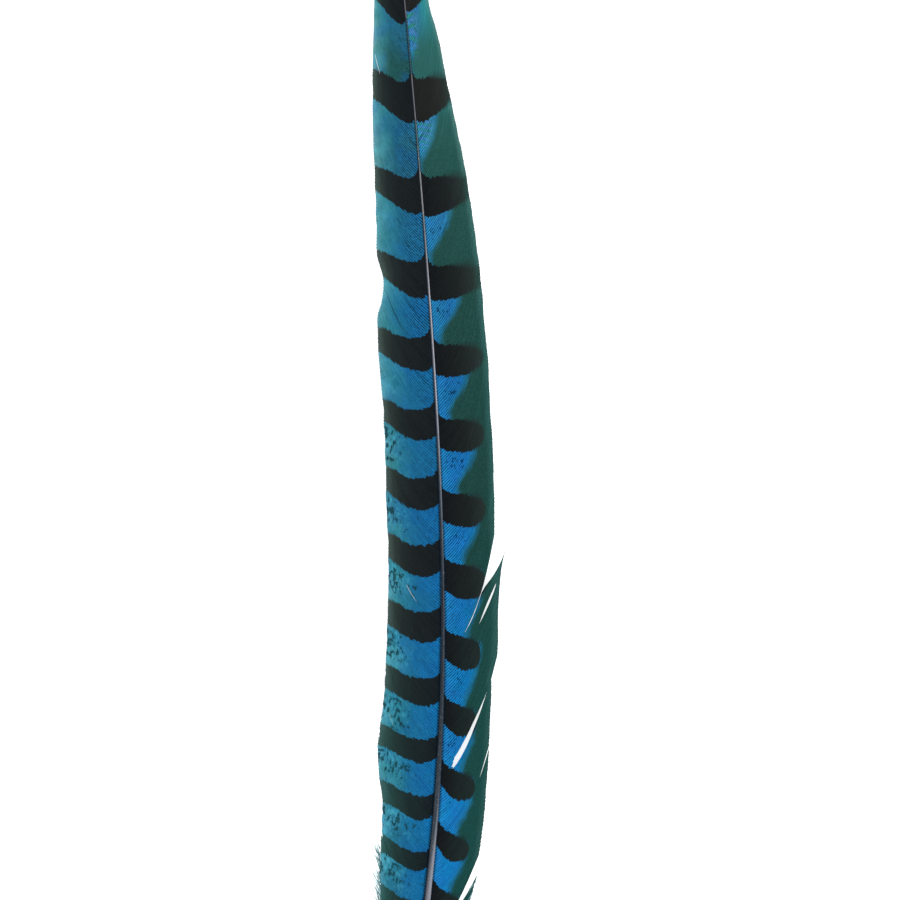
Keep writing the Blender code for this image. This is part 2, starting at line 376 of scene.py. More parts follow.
def push_apart(roots, side):
    """How far each barb is pushed aside, down and outwards, at ALONG.

    The push falls off by the exponential of the mm of roots from the barb to the parting."""
    push = np.zeros((len(roots), len(ALONG)))
    for station, reach, above, below in PARTINGS[side]:
        near = np.exp(-np.abs(roots - station) / reach)[:, None]
        lower = (roots > station)[:, None]
        push += near * np.where(lower, curve_through(below)(ALONG), curve_through(above)(ALONG))
    return push


RUN_ON = 6.0  # mm that a barb's path is taken to run straight on past its end
GAP_RANGE = (0.4 * BARB_STEP, 4 * BARB_STEP)


def gaps_between(station, distance, angle):
    """Mm down the shaft from each barb's path to the next one's, along the upper barb and the lower one."""
    station = np.hstack([station, station[:, -1:] - RUN_ON * np.cos(angle[:, -1:])])
    distance = np.hstack([distance, distance[:, -1:] + RUN_ON * np.sin(angle[:, -1:])])
    along_upper, along_lower = [], []
    for i in range(len(station) - 1):
        along_upper.append(np.interp(distance[i, :-1], distance[i + 1], station[i + 1]) - station[i, :-1])
        along_lower.append(station[i + 1, :-1] - np.interp(distance[i + 1, :-1], distance[i], station[i]))
    return np.clip([along_upper, along_lower], *GAP_RANGE)


def barb_spacing(side, roots, barbs):
    """Half the gaps above and below each barb, in mm: as they lie, and as they would in a whole web."""
    whole = gaps_between(barbs["station"], barbs["distance"], barbs["angle"])
    moved = gaps_between(barbs["moved_station"], barbs["moved_distance"], barbs["angle"])
    parted = np.zeros(len(roots) - 1, bool)
    for station, *_ in PARTINGS[side]:
        parted |= (roots[:-1] < station) & (roots[1:] >= station)
    moved[:, parted] = whole[:, parted]
    for first, last, _ in BROKEN[side]:
        beside = (roots[1:] > first) & (roots[:-1] < last)
        whole[:, beside] = moved[:, beside] = BARB_STEP
    end = np.full((1, len(ALONG)), BARB_STEP)
    return [
        (np.vstack([end, lower]) / 2, np.vstack([upper, end]) / 2) for upper, lower in (moved, whole)
    ]


def kept_shares(side, roots, across, length, random):
    """The share of each barb that is left: its tip is a little worn, and a few are broken off."""
    worn = np.interp(roots, WEAR_STATIONS, WEAR[side])
    kept = 1 - np.abs(random.normal(0, 1, len(roots))) * worn / length
    for first, last, distance in BROKEN[side]:
        for i in np.flatnonzero((roots > first) & (roots < last)):
            end = np.interp((distance - shaft_width(roots[i]) / 2) / length[i], across[i], ALONG)
            kept[i] = end * random.uniform(0.9, 1.1)
    return kept


def trimmed(values, kept):
    """Rows of values given at ALONG, read again at ALONG times the share of each row that is kept."""
    return np.array([np.interp(ALONG * share, ALONG, row) for row, share in zip(values, kept)])


def grow_barbs(side, roots, edges, seed):
    """The barbs of a web at ALONG, in mm and radians: where each would lie in a whole web, and where it lies.

    A run is the length of barb from its root to a point."""
    random = np.random.default_rng(seed)
    across, along, angle = barb_shape(roots, side)
    length = np.zeros(len(roots))
    for first, last, edge in edges:
        chosen = (roots >= first) & (roots < last)
        length[chosen] = barb_lengths(roots[chosen], across[chosen], along[chosen], curve_through(edge))
    kept = kept_shares(side, roots, across, length, random)
    sway = SWAY * wander(roots, seed, SWAY_STEP)[:, None] * np.sin(angle) * ALONG**2
    push = trimmed(push_apart(roots, side) + sway, kept)
    across, along, angle = (trimmed(values, kept) for values in (across, along, angle))
    station = roots[:, None] - length[:, None] * along
    distance = shaft_width(roots)[:, None] * BARB_ROOT + length[:, None] * across
    return {
        "station": station,
        "distance": distance,
        "angle": angle,
        "run": length[:, None] * kept[:, None] * ALONG,
        "moved_station": station + push * np.sin(angle),
        "moved_distance": distance + push * np.cos(angle),
        "coloured_distance": distance + COLOUR_SHIFT * np.clip(push, 0, None) * np.cos(angle),
    }


# Painted shadow lines where barbs part without a gap: (station, mm from the shaft's line, length in mm,
# strength)
PARTING_SHADOWS = {
    -1: [
        (146, 13.0, 13, 0.5), (148, 7.8, 9, 0.45), (123.7, 8.4, 4.5, 0.5),
        (130.5, 6.4, 5, 0.5), (100, 3.2, 6, 0.45),
    ],
    1: [
        (125, 7.5, 8, 0.45), (129, 3.6, 2.5, 0.6), (99, 2.6, 5, 0.4),
        (66, 4.4, 6, 0.25), (70, 2.6, 5, 0.25),
    ],
}


def streak_shade(side, barbs):
    """A painted shadow, 0 to 1, along the barb nearest to each streak: it fades at the streak's two ends."""
    shade = np.zeros_like(barbs["station"])
    for station, distance, length, strength in PARTING_SHADOWS[side]:
        off = np.hypot(barbs["station"] - station, barbs["distance"] - distance)
        row, at = np.unravel_index(off.argmin(), off.shape)
        back = (barbs["run"][row, at] - barbs["run"][row]) / length
        shade[row] = np.maximum(shade[row], strength * np.clip(4 * back * (1 - back), 0, 1) ** 0.5)
    return shade


def make_barbs(name, side, edges, edge_of_web, seed, material):
    """One web: each barb is a strip whose section is carried along its path, lapping over the next ones."""
    random = np.random.default_rng(seed + 1)
    roots = np.arange(FIRST_ROOT, LAST_ROOT, BARB_STEP)
    roots = roots + random.uniform(-ROOT_SCATTER, ROOT_SCATTER, len(roots))
    barbs = grow_barbs(side, roots, edges, seed)
    run = barbs["run"]
    steep = np.sin(barbs["angle"])
    narrowing, least, power = TAPER
    taper = np.clip((run[:, -1:] - run) / narrowing, least, 1) ** power
    moved, whole = (
        RING_PLACE * np.where(RING_PLACE < 0, above[:, :, None], below[:, :, None]) * taper[:, :, None]
        for above, below in barb_spacing(side, roots, barbs)
    )
    width = RING_PLACE * BARB_STEP / 2
    rising = np.clip(run / 1.2, 0.4, 1)
    relief = RELIEF * steep * rising * random.uniform(*RELIEF_SPREAD, (len(roots), 1))
    lift = LIFT * wander(roots, seed + 5, LIFT_STEP)[:, None] * ALONG * steep
    at = barbs["moved_station"][:, :, None] + moved
    out = np.broadcast_to(barbs["moved_distance"][:, :, None], at.shape)
    z = web_height(at, out) + RING_HEIGHT * relief[:, :, None] + lift[:, :, None]
    points = place(at, side * out, z)
    faces = skin_faces(len(roots), len(ALONG), len(RING_PLACE), side < 0)
    piece = mesh_from(name, points.reshape(-1, 3), faces, material)

    def on_points(values):
        return np.broadcast_to(values, at.shape)

    station = barbs["station"][:, :, None] + whole
    reach = barbs["coloured_distance"][:, :, None] / edge_of_web(station)
    bar, cell = bar_fields(side, station.ravel(), reach.ravel())
    tone = on_points(random.uniform(-1, 1, len(roots))[:, None, None])
    grain = [on_points(roots[:, None, None] + width), on_points(run[:, :, None]), tone * CHANCE]
    give(
        piece,
        bake_layout(len(roots), len(ALONG), len(RING_PLACE)),
        station=station,
        reach=reach,
        bar=bar,
        cell=cell,
        tone=tone,
        rib=on_points(RING_PLACE),
        under=on_points(RING_UNDER),
        streak=on_points(streak_shade(side, barbs)[:, :, None]),
        grain=np.stack(grain, axis=-1).reshape(-1, 3),
    )
    return piece


# ---------------------------------------------------------------- loose barbs and down


def strand_mesh(name, centres, radius, sides, material):
    """Closed strands along rows of centres, in metres: each centre carries a ring of its radius, in mm."""
    heading = np.gradient(centres, axis=1)
    across = np.stack([-heading[..., 1], heading[..., 0], np.zeros(heading.shape[:2])], axis=-1)
    across /= np.linalg.norm(across, axis=-1, keepdims=True)
    turn = np.arange(sides) * 2 * np.pi / sides
    ring = np.cos(turn)[:, None] * across[:, :, None] + np.sin(turn)[:, None] * np.array([0, 0, 1.0])
    points = centres[:, :, None] + radius[..., None, None] * MM * ring
    strands, rings = centres.shape[:2]
    return mesh_from(name, points.reshape(-1, 3), skin_faces(strands, rings, sides, False), material)


def give_strands(piece, sides, **values):
    """Stores values given by strand and ring on every point of each ring."""
    for name, value in values.items():
        store(piece, name, np.repeat(value, sides))


LOOSE_BARBS = 56
LOOSE_LEFT = 50  # of them on the left
LOOSE_FOOT = 334.0  # station below which there are none
LOOSE_SPREAD = {-1: 17, 1: 8}  # mm of the edge that they stand on, up from there
LOOSE_RINGS = 10
LOOSE_SIDES = 5
LOOSE_ROOT = 0.6  # mm that they start inside the edge
LOOSE_LENGTHS = (2.4, 6.4)
LOOSE_ANGLES = (18, 50)  # degrees from the shaft where they start
LOOSE_CLOSING = 0.35  # share of that angle that is gone at their tips
LOOSE_RADIUS = 0.13
LOOSE_TAPER = 0.75  # share of the radius that is gone at their tips
LEAST_HEIGHT = 0.08  # mm over the table


def make_loose_barbs(material):
    """Wispy barb ends that stand out from the foot of the left web, and a few on the right.

    Each is thin and tapered, and turns in to the shaft's direction as it goes out. Its path is the running
    sum of the angle's sine, across, and cosine, up the shaft."""
    random = np.random.default_rng(5)
    side = np.where(np.arange(LOOSE_BARBS) < LOOSE_LEFT, -1, 1)
    left_start = LOOSE_FOOT - LOOSE_SPREAD[-1] * random.uniform(0, 1, LOOSE_BARBS) ** 1.2
    right_start = random.uniform(LOOSE_FOOT - LOOSE_SPREAD[1], LOOSE_FOOT, LOOSE_BARBS)
    start = np.where(side < 0, left_start, right_start)
    edge = np.where(side < 0, curve_through(LEFT_EDGE)(start), curve_through(RIGHT_EDGE_FOOT)(start))
    length = random.uniform(*LOOSE_LENGTHS, LOOSE_BARBS)[:, None]
    share = np.linspace(0, 1, LOOSE_RINGS)[None]
    angle = np.radians(random.uniform(*LOOSE_ANGLES, LOOSE_BARBS))[:, None] * (1 - LOOSE_CLOSING * share)
    step = length / (LOOSE_RINGS - 1)
    out = edge[:, None] - LOOSE_ROOT + np.cumsum(np.sin(angle) * step, axis=1)
    station = start[:, None] - np.cumsum(np.cos(angle) * step, axis=1)
    height = web_height(station, out) + random.uniform(-0.1, 0.5, (LOOSE_BARBS, 1)) * share
    points = place(station, side[:, None] * out, np.maximum(height, LEAST_HEIGHT))
    radius = LOOSE_RADIUS * (1 - LOOSE_TAPER * share) * random.uniform(0.7, 1.2, (LOOSE_BARBS, 1))
    piece = strand_mesh("loose_barbs", points, radius, LOOSE_SIDES, material)
    tone = random.uniform(-1, 1, (LOOSE_BARBS, 1)) + 0 * station
    give_strands(piece, LOOSE_SIDES, run=share + 0 * station, tone=tone)
    return piece


DOWN_ROOTS = (354.0, 386.0)
DOWN_STEP = 0.75
DOWN_EDGE = [(0, 14), (335, 13), (362, 11), (384, 6), (415, 4)]  # (station, half width) points
STEM_RINGS = 12
STEM_SIDES = 5
STEM_ROOT = 0.45  # stems start this share of the shaft's width out from its middle
STEM_ANGLES = (48, 66)  # degrees from the shaft where they start
STEM_CLOSING = 0.3  # share of that angle that is gone at their tips
STEM_RISE = 6  # mm up the shaft from a stem's root to where the tuft's edge limits it
STEM_SPREAD = 0.74  # share of a stem's length that carries it outwards
STEM_RADII = (0.15, 0.05)  # mm at a stem's root and tip
BARBULES = 76  # on each stem
BARBULE_RINGS = 4
BARBULE_SIDES = 3
BARBULE_RADIUS = 0.045
BARBULE_LENGTHS = (1.6, 3.8)
BARBULE_TURNS = (35, 75)  # degrees between a barbule and its stem's heading
STEM_HEADING = 38  # degrees from the shaft that a stem usually heads


def down_paths(random):
    """The stems, soft curved barbs below the web: (station, distance, height) at STEM_RINGS places of each.

    Each starts at the shaft's side, turns in to the shaft's direction and wavers more as it goes out."""
    roots = np.arange(*DOWN_ROOTS, DOWN_STEP)
    roots = roots + random.uniform(-0.2, 0.2, len(roots))
    share = np.linspace(0, 1, STEM_RINGS)[None]
    edge = curve_through(DOWN_EDGE)
    angle = np.radians(random.uniform(*STEM_ANGLES, len(roots)))[:, None] * (1 - STEM_CLOSING * share)
    length = (edge(roots - STEM_RISE) / STEM_SPREAD * random.uniform(0.75, 1.05, len(roots)))[:, None]
    step = length / (STEM_RINGS - 1) * (share > 0)
    waves = share * random.uniform(4, 9, (len(roots), 1)) + random.uniform(0, 6, (len(roots), 1))
    station = roots[:, None] - np.cumsum(np.cos(angle) * step, axis=1) + 0.5 * np.sin(waves) * share
    distance = shaft_width(roots)[:, None] * STEM_ROOT + np.cumsum(np.sin(angle) * step, axis=1)
    lift = 0.35 * np.sin(share * 5 + random.uniform(0, 6, (len(roots), 1))) * share
    return station, distance, np.maximum(web_height(station, distance) + lift, 0.2)


def barbule_paths(stems, random):
    """Fine curved threads on both sides of each stem: (station, distance, height) at BARBULE_RINGS places.

    A thread leaves its stem at a random angle to the stem's usual heading, and half of that angle closes."""
    at = np.tile(np.linspace(0.02, 1, BARBULES), len(stems[0]))
    row = np.repeat(np.arange(len(stems[0])), BARBULES)
    places = np.linspace(0, 1, STEM_RINGS)
    station, distance, height = (
        np.array([np.interp(a, places, values[r]) for a, r in zip(at, row)])[:, None] for values in stems
    )
    turn = np.where(np.arange(len(at)) % 2 == 0, 1, -1) * np.radians(random.uniform(*BARBULE_TURNS, len(at)))
    heading = np.radians(STEM_HEADING) + turn
    length = (random.uniform(*BARBULE_LENGTHS, len(at)) * (1.1 - 0.5 * at))[:, None]
    share = np.linspace(0, 1, BARBULE_RINGS)[None]
    bent = heading[:, None] - turn[:, None] * 0.5 * share
    out = distance + np.sin(bent) * share * length
    along = station - np.cos(bent) * share * length
    rise = height + random.normal(0, 0.28, (len(at), 1)) * share
    return along, np.maximum(out, 0.3), np.maximum(rise, 0.06)


def make_down(name, side, seed, material):
    """A tuft of down: soft barbs, each with fine barbules along both sides."""
    random = np.random.default_rng(seed)
    stems = down_paths(random)
    threads = barbule_paths(stems, random)
    share = np.linspace(0, 1, BARBULE_RINGS)[None]
    thin = BARBULE_RADIUS * (1 - 0.6 * share) + 0 * threads[0]
    points = place(threads[0], side * threads[1], threads[2])
    piece = strand_mesh(name, points, thin, BARBULE_SIDES, material)
    tone = random.uniform(-1, 1, (len(thin), 1))
    give_strands(piece, BARBULE_SIDES, run=share + 0 * thin, tone=tone + 0 * thin)
    thick = np.linspace(*STEM_RADII, STEM_RINGS)[None] + 0 * stems[0]
    points = place(stems[0], side * stems[1], stems[2])
    core = strand_mesh(name + "_stems", points, thick, STEM_SIDES, material)
    tone = random.uniform(-1, 1, (len(thick), 1))
    give_strands(core, STEM_SIDES, run=0 * thick, tone=tone + 0 * thick)
    hand_over(core)
    return piece


# ---------------------------------------------------------------- markings

# (upper edge, lower edge) of each dark bar, in mm down from the tip, where they come lowest
BARS = {
    -1: [
        (-30, -8), (21, 34), (52.5, 65.4), (83.6, 95.5), (112.7, 123.3), (138.1, 149), (161, 171),
        (182.6, 192), (203, 212.8), (223.3, 233), (243.5, 252.9), (263.6, 272.2), (282.1, 289.5),
        (299.4, 306.9), (316.4, 322.4), (331.3, 337.3), (346, 351), (361, 366), (420, 425),
    ],
    1: [
        (-30, -10), (18, 32), (50, 62.6), (83.1, 96), (113.1, 124.8), (139.9, 150.6), (163.7, 173.7),
        (186.1, 196.2), (208.2, 218.4), (229.3, 239.9), (250.8, 260.9), (271.1, 281), (290.8, 299.8),
        (309.5, 318.2), (326.8, 334.6), (343.6, 350), (360, 366), (420, 425),
    ],
}
# How a bar's edges bend: (share of the web's width, mm further down) points for bars near these stations
SHAPE_STATIONS = (95, 205, 305)
UPPER_BEND = {
    -1: [
        [
            (0, -3.4), (0.05, -2.2), (0.1, -0.6), (0.17, -0.1),
            (0.28, 0), (0.45, -1.1), (0.7, -3.3), (1, -5.0),
        ],
        [
            (0, -3.4), (0.04, -2.2), (0.09, -1.1), (0.16, -0.4), (0.29, 0),
            (0.47, 0.3), (0.66, -0.6), (0.84, -2.9), (1, -4.2),
        ],
        [
            (0, -3.0), (0.04, -1.8), (0.1, -0.9), (0.25, 0),
            (0.45, -0.5), (0.65, -1.5), (0.83, -3.1), (1, -4.2),
        ],
    ],
    1: [
        [(0, -3.3), (0.06, -1.2), (0.12, 0.0), (0.25, 0.1), (0.4, -0.2), (0.7, -0.5), (1, 0)],
        [(0, -3.4), (0.05, -1.7), (0.12, -0.6), (0.3, 0), (0.45, 0.2), (0.6, 0.6), (1, 0.6)],
        [(0, -4.6), (0.08, -2.8), (0.16, -1.5), (0.3, -0.1), (0.5, 0.9), (0.65, 1.3), (1, 1.4)],
    ],
}
LOWER_BEND = {
    -1: [
        [(0, 0.2), (0.13, 0.9), (0.3, 0), (0.45, -1.6), (0.7, -4.7), (1, -8.1)],
        [
            (0, -2.3), (0.05, -1.6), (0.14, -0.6), (0.3, 0),
            (0.47, -0.2), (0.66, -1.5), (0.84, -4.1), (1, -6.6),
        ],
        [
            (0, -2.7), (0.05, -2.1), (0.15, -0.9), (0.27, 0),
            (0.45, -1.0), (0.63, -2.2), (0.81, -3.7), (1, -4.2),
        ],
    ],
    1: [
        [(0, -0.2), (0.1, 0.4), (0.25, 0), (0.4, -0.8), (0.6, -2.1), (0.8, -3.6), (1, -5.6)],
        [(0, -2.5), (0.09, -1.5), (0.26, -0.5), (0.45, 0), (0.6, -0.1), (0.75, -0.6), (1, -0.6)],
        [(0, -5.6), (0.1, -4.2), (0.27, -1.2), (0.43, 0), (0.6, -0.1), (1, -0.3)],
    ],
}
# Where the bars end, as (station, share of the web's width) points. On the right they end short of the
# edge as rounded lobes, and on the left they run out to it.
LOBE_END = {
    -1: [(0, 9), (415, 9)],
    1: [
        (0, 3), (140, 1.5), (152, 1.0), (165, 0.92), (187, 0.86),
        (210, 0.83), (235, 0.79), (252, 0.71), (272, 0.75), (400, 0.78),
    ],
}
LOBE_START = 0.5  # share of the web's width where a lobe starts to close


def bend_of(side, shapes, bars, reach):
    """How far down each bar's edge lies at each reach, blended between the shapes by the bar's station."""
    weight = [np.interp(bars, SHAPE_STATIONS, row)[:, None] for row in np.eye(len(SHAPE_STATIONS))]
    return sum(w * curve_through(points)(reach)[None] for w, points in zip(weight, shapes[side]))


def bar_fields(side, station, reach):
    """How far inside a bar each point lies, in mm, and how many pale cells lie above it on the web.

    The count takes in the share of the point's own cell that lies above it. Reach is the point's distance
    from the shaft as a share of the web's width there, and its depth in a bar is the lesser of its distances
    to the bar's two edges. A lobe closes by the square root of 1 less a cube."""
    bars = np.array(BARS[side], float)
    reach = np.clip(reach, 0, 1.05)
    upper = bars[:, :1] + bend_of(side, UPPER_BEND, bars[:, 0], reach)
    lower = bars[:, 1:] + bend_of(side, LOWER_BEND, bars[:, 0], reach)
    end = curve_through(LOBE_END[side])(bars[:, :1])
    past = np.clip((reach[None] - LOBE_START) / (end - LOBE_START), 0, None)
    closing = np.where(past < 1, np.sqrt(np.clip(1 - past**3, 0, 1)), 1 - past)
    middle, half = (upper + lower) / 2, (lower - upper) / 2 * closing
    depth = half - np.abs(station[None] - middle)
    cell = np.clip((station[None] - lower[:-1]) / (upper[1:] - lower[:-1]), 0, 1).sum(0)
    return depth.max(0), cell


# ---------------------------------------------------------------- the shaft

SHAFT_SIDES = 40
SHAFT_RINGS = 420
END_RINGS = 14  # more of them round the quill's end
QUILL_END = 4.0  # mm over which the quill's end is rounded
END_GAP = 0.2  # mm between the last even ring and the rounding
BLUNT = 0.02  # mm that the rounding is longer than it shows, so the last ring is not a point
FURROW = 0.3  # half width of the furrow, as the cosine of the turn round the section
SHAFT_REACH = 0.06  # share of the webs' width where the shaft takes its bars from


def make_shaft(material):
    """The quill and rachis: a squarish oval section carried down the shaft's line, furrowed below.

    The section's corners come from raising a circle's sine and cosine to a power below one. The quill's end
    is rounded as an ellipse is, by the square root of 1 less a square."""
    from_end = 1 - np.sin(np.linspace(0, np.pi / 2, END_RINGS))
    even = np.linspace(SHAFT_TOP, LENGTH - QUILL_END - END_GAP, SHAFT_RINGS)
    station = np.concatenate([even, LENGTH - QUILL_END * from_end])
    turn = (np.arange(SHAFT_SIDES) + 0.5) * 2 * np.pi / SHAFT_SIDES
    sine, cosine = np.sin(turn), np.cos(turn)
    power = 2 / SQUARENESS
    rise = (np.sign(sine) * np.abs(sine) ** power + 1) / 2
    across = np.sign(cosine) * np.abs(cosine) ** power / 2
    s = station[:, None]
    furrow = groove(s) * np.exp(-((cosine / FURROW) ** 2)) * (sine < 0)

    full = LENGTH - QUILL_END
    ending = s > full
    rounding = np.sqrt(np.clip(1 - ((s - full) / (QUILL_END + BLUNT)) ** 2 * ending, 0, 1))
    wide = np.where(ending, shaft_width(full) * rounding, shaft_width(s))
    tall = np.where(ending, shaft_height(full) * rounding, shaft_height(s))
    base = np.where(ending, underside(full) + shaft_height(full) * (1 - rounding) / 2, underside(s))
    height = base + (rise + furrow) * tall
    points = place(s + 0 * across, across * wide, height)
    faces = skin_faces(1, len(station), SHAFT_SIDES, False)
    piece = mesh_from("shaft_horn", points.reshape(-1, 3), faces, material)

    def on_points(values):
        return np.broadcast_to(values, height.shape)

    bars = [bar_fields(side, station, SHAFT_REACH + 0 * station)[0][None] for side in (-1, 1)]
    bar = np.concatenate(bars).mean(0)[:, None]
    lengthwise = np.stack([on_points(s), on_points(across) * wide, on_points(rise)], axis=-1)
    give(
        piece,
        bake_layout(1, len(station), SHAFT_SIDES),
        station=on_points(s).ravel(),
        bar=on_points(bar).ravel(),
        face=on_points(cosine).ravel(),
        grain=lengthwise.reshape(-1, 3),
    )
    return piece


# ---------------------------------------------------------------- materials

EXPOSURE = 1.05  # how bright a matt white surface looks under the lamps
GLEAM = 0.003  # how bright the gloss makes a black one look


def seen(red, green, blue):
    """The colour of a surface that looks like this 8-bit colour under the lamps."""
    channels = np.array([red, green, blue]) / 255
    linear = np.where(channels <= 0.04045, channels / 12.92, ((channels + 0.055) / 1.055) ** 2.4)
    return (*(np.maximum(linear - GLEAM, 0.001) / EXPOSURE), 1.0)


class Nodes:
    """Adds and links the nodes of one tree."""

    def __init__(self, tree):
        self.tree = tree

    def add(self, kind, inputs=None, **settings):
        node = self.tree.nodes.new(kind)
        for key, value in settings.items():
            setattr(node, key, value)
        for key, value in (inputs or {}).items():
            self.put(node.inputs[key], value)
        return node

    def put(self, socket, value):
        """Links a node's output to a socket, or sets the socket to a plain value."""
        if isinstance(value, bpy.types.NodeSocket):
            self.tree.links.new(value, socket)
        else:
            socket.default_value = value

    def math(self, operation, *values):
        return self.add("ShaderNodeMath", dict(enumerate(values)), operation=operation).outputs[0]

    def times(self, *values):
        result = values[0]
        for value in values[1:]:
            result = self.math("MULTIPLY", result, value)
        return result

    def plus(self, *values):
        result = values[0]
        for value in values[1:]:
            result = self.math("ADD", result, value)
        return result

    def value(self, name):
        return self.add("ShaderNodeAttribute", attribute_name=name).outputs["Fac"]

    def web_fields(self):
        """A point's reach and station on its web, and the share of its pale cell that lies above it."""
        return self.value("reach"), self.value("station"), self.math("FRACT", self.value("cell"))

    def grain(self, *scale):
        """The place on the web as (root station, mm along the barb, chance number of the barb), stretched."""
        place = self.add("ShaderNodeAttribute", attribute_name="grain").outputs["Vector"]
        return self.vector("MULTIPLY", place, scale)

    def object_place(self, scale):
        """The place on the object, in metres times the scale."""
        return self.scaled(self.add("ShaderNodeTexCoord").outputs["Object"], scale)

    def run(self):
        """Mm along the barb."""
        return self.add("ShaderNodeSeparateXYZ", {0: self.grain(1, 1, 1)}).outputs[1]

    def step(self, value, low, high, to_low=0.0, to_high=1.0):
        """A smooth step from to_low, at low, to to_high, at high."""
        inputs = {"Value": value, "From Min": low, "From Max": high, "To Min": to_low, "To Max": to_high}
        return self.add("ShaderNodeMapRange", inputs, interpolation_type="SMOOTHSTEP").outputs[0]

    def mix(self, factor, one, other):
        node = self.add("ShaderNodeMix", data_type="RGBA")
        for socket, value in zip((node.inputs[0], node.inputs[6], node.inputs[7]), (factor, one, other)):
            self.put(socket, value)
        return node.outputs[2]

    def ramp(self, factor, *stops):
        """A colour ramp from (place, (red, green, blue)) stops."""
        node = self.add("ShaderNodeValToRGB", {0: factor})
        elements = node.color_ramp.elements
        while len(elements) < len(stops):
            elements.new(0.5)
        for element, (at, colour) in zip(elements, stops):
            element.position, element.color = at, seen(*colour)
        return node.outputs[0]

    def noise(self, vector, detail=2.0):
        return self.add("ShaderNodeTexNoise", {"Vector": vector, "Scale": 1.0, "Detail": detail}).outputs[0]

    def level_noise(self, vector, detail=2.0):
        """The same noise, about nought."""
        return self.plus(self.noise(vector, detail), -0.5)

    def vector(self, operation, one, other):
        return self.add("ShaderNodeVectorMath", {0: one, 1: other}, operation=operation).outputs[0]

    def scaled(self, vector, scale):
        return self.add("ShaderNodeVectorMath", {0: vector, "Scale": scale}, operation="SCALE").outputs[0]

    def group(self, tree, **inputs):
        node = self.add("ShaderNodeGroup", node_tree=tree)
        for key, value in inputs.items():
            self.put(node.inputs[key], value)
        return node.outputs


def new_material(name, roughness, specular):
    """A material, its nodes and its shader."""
    material = bpy.data.materials.new(name)
    material.use_nodes = True
    surface = material.node_tree.nodes["Principled BSDF"]
    surface.inputs["Roughness"].default_value = roughness
    surface.inputs["Specular IOR Level"].default_value = specular
    return material, Nodes(material.node_tree), surface


def new_group(name, inputs, outputs):
    """A node group with sockets of these names and kinds, its nodes, what comes in and what goes out."""
    tree = bpy.data.node_groups.new(name, "ShaderNodeTree")
    for key, kind in inputs.items():
        tree.interface.new_socket(key, in_out="INPUT", socket_type="NodeSocket" + kind)
    for key, kind in outputs.items():
        tree.interface.new_socket(key, in_out="OUTPUT", socket_type="NodeSocket" + kind)
    n = Nodes(tree)
    return tree, n, n.add("NodeGroupInput").outputs, n.add("NodeGroupOutput").inputs


# Colours are (red, green, blue) in 8 bits, as they look under the lamps
ROOT_AND_SHAFT_SHADOW = (12, 26, 40)  # a painted shadow of the shaft over the barbs' dark roots beside it
UNDER_COLOUR = (104, 118, 122)
TOP_CELL_END = (84, 92)  # stations over which the highest pale cell's looks give way to the next ones'


def barb_grain_group():
    """Lightens the rib of each barb, paints shade where it meets the next and a painted shadow along the
    parting streaks, and varies barbs.

    The contrast is worn away in patches, and fine specks of the barbules lie over it."""
    given_kinds = {"Color": "Color", "Rib": "Float", "Gap": "Float", "Variation": "Float", "Specks": "Float"}
    tree, n, given, out = new_group("barb grain", given_kinds, {"Color": "Color", "Height": "Float"})
    off = n.math("ABSOLUTE", n.value("rib"))
    worn = n.step(n.noise(n.grain(0.7, 0.8, 1.0), 3.0), 0.36, 0.6, 0.2, 1.5)
    ribbed = n.times(n.step(off, 0.05, 0.5, 1.0, 0.0), given["Rib"], worn)
    # Painted shade in the gaps where each barb meets the next
    gap_shade = n.times(n.step(off, 0.5, 1.0), given["Gap"], worn)
    slow = n.noise(n.grain(0.3, 0.1, 0.0))
    fine = n.noise(n.grain(0.0, 0.7, 1.0))
    varied = n.times(n.plus(slow, fine, -1.0, n.times(n.value("tone"), 0.25)), given["Variation"])
    specks = n.times(n.level_noise(n.grain(1.9, 1.4, 0.7), 3.0), given["Specks"])
    light = n.plus(1.0, ribbed, n.times(gap_shade, -1.0), varied, specks)
    # Painted shadow along the partings between barbs
    light = n.times(light, n.step(n.value("streak"), 0.0, 1.0, 1.0, 0.0))
    n.put(out["Color"], n.scaled(given["Color"], light))
    wave = {"Vector": n.grain(1.0, 1.0, 1.0), "Scale": 3.0, "Distortion": 0.6}
    n.put(out["Height"], n.add("ShaderNodeTexWave", wave, bands_direction="DIAGONAL").outputs[1])
    return tree


DASH = (1.15, 0.72, 1)  # scales of the spots' pattern: a lower one draws them out that way
CLUSTER = 0.35  # scale of the pattern that gathers the spots, as a share of theirs


def mottle_group(name, scale):
    """Dark spots and dashes, drawn out along the feather and a little out of step from barb to barb.

    There are more of them where the density is high, and Light is a paler ground between them."""
    tree, n, given, out = new_group(name, {"Density": "Float"}, {"Mask": "Float", "Light": "Float"})
    slip = n.add("ShaderNodeCombineXYZ", {"Y": n.times(n.value("tone"), 0.28)}).outputs[0]
    moved = n.vector("ADD", n.vector("MULTIPLY", n.object_place(scale), DASH), slip)
    clusters = n.times(n.level_noise(n.object_place(scale * CLUSTER), 1.0), 0.5)
    level = n.plus(0.77, n.times(given["Density"], -0.25), n.times(clusters, -1.0))
    spots = n.noise(moved, 2.5)
    n.put(out["Mask"], n.step(n.plus(spots, n.times(level, -1.0)), 0.0, 0.06))
    n.put(out["Light"], n.times(n.step(n.plus(spots, clusters), 0.46, 0.3), given["Density"]))
    return tree


BARB_GRAIN = barb_grain_group()
MOTTLE = mottle_group("mottling", 900)
SPECKLE = mottle_group("speckling", 1600)


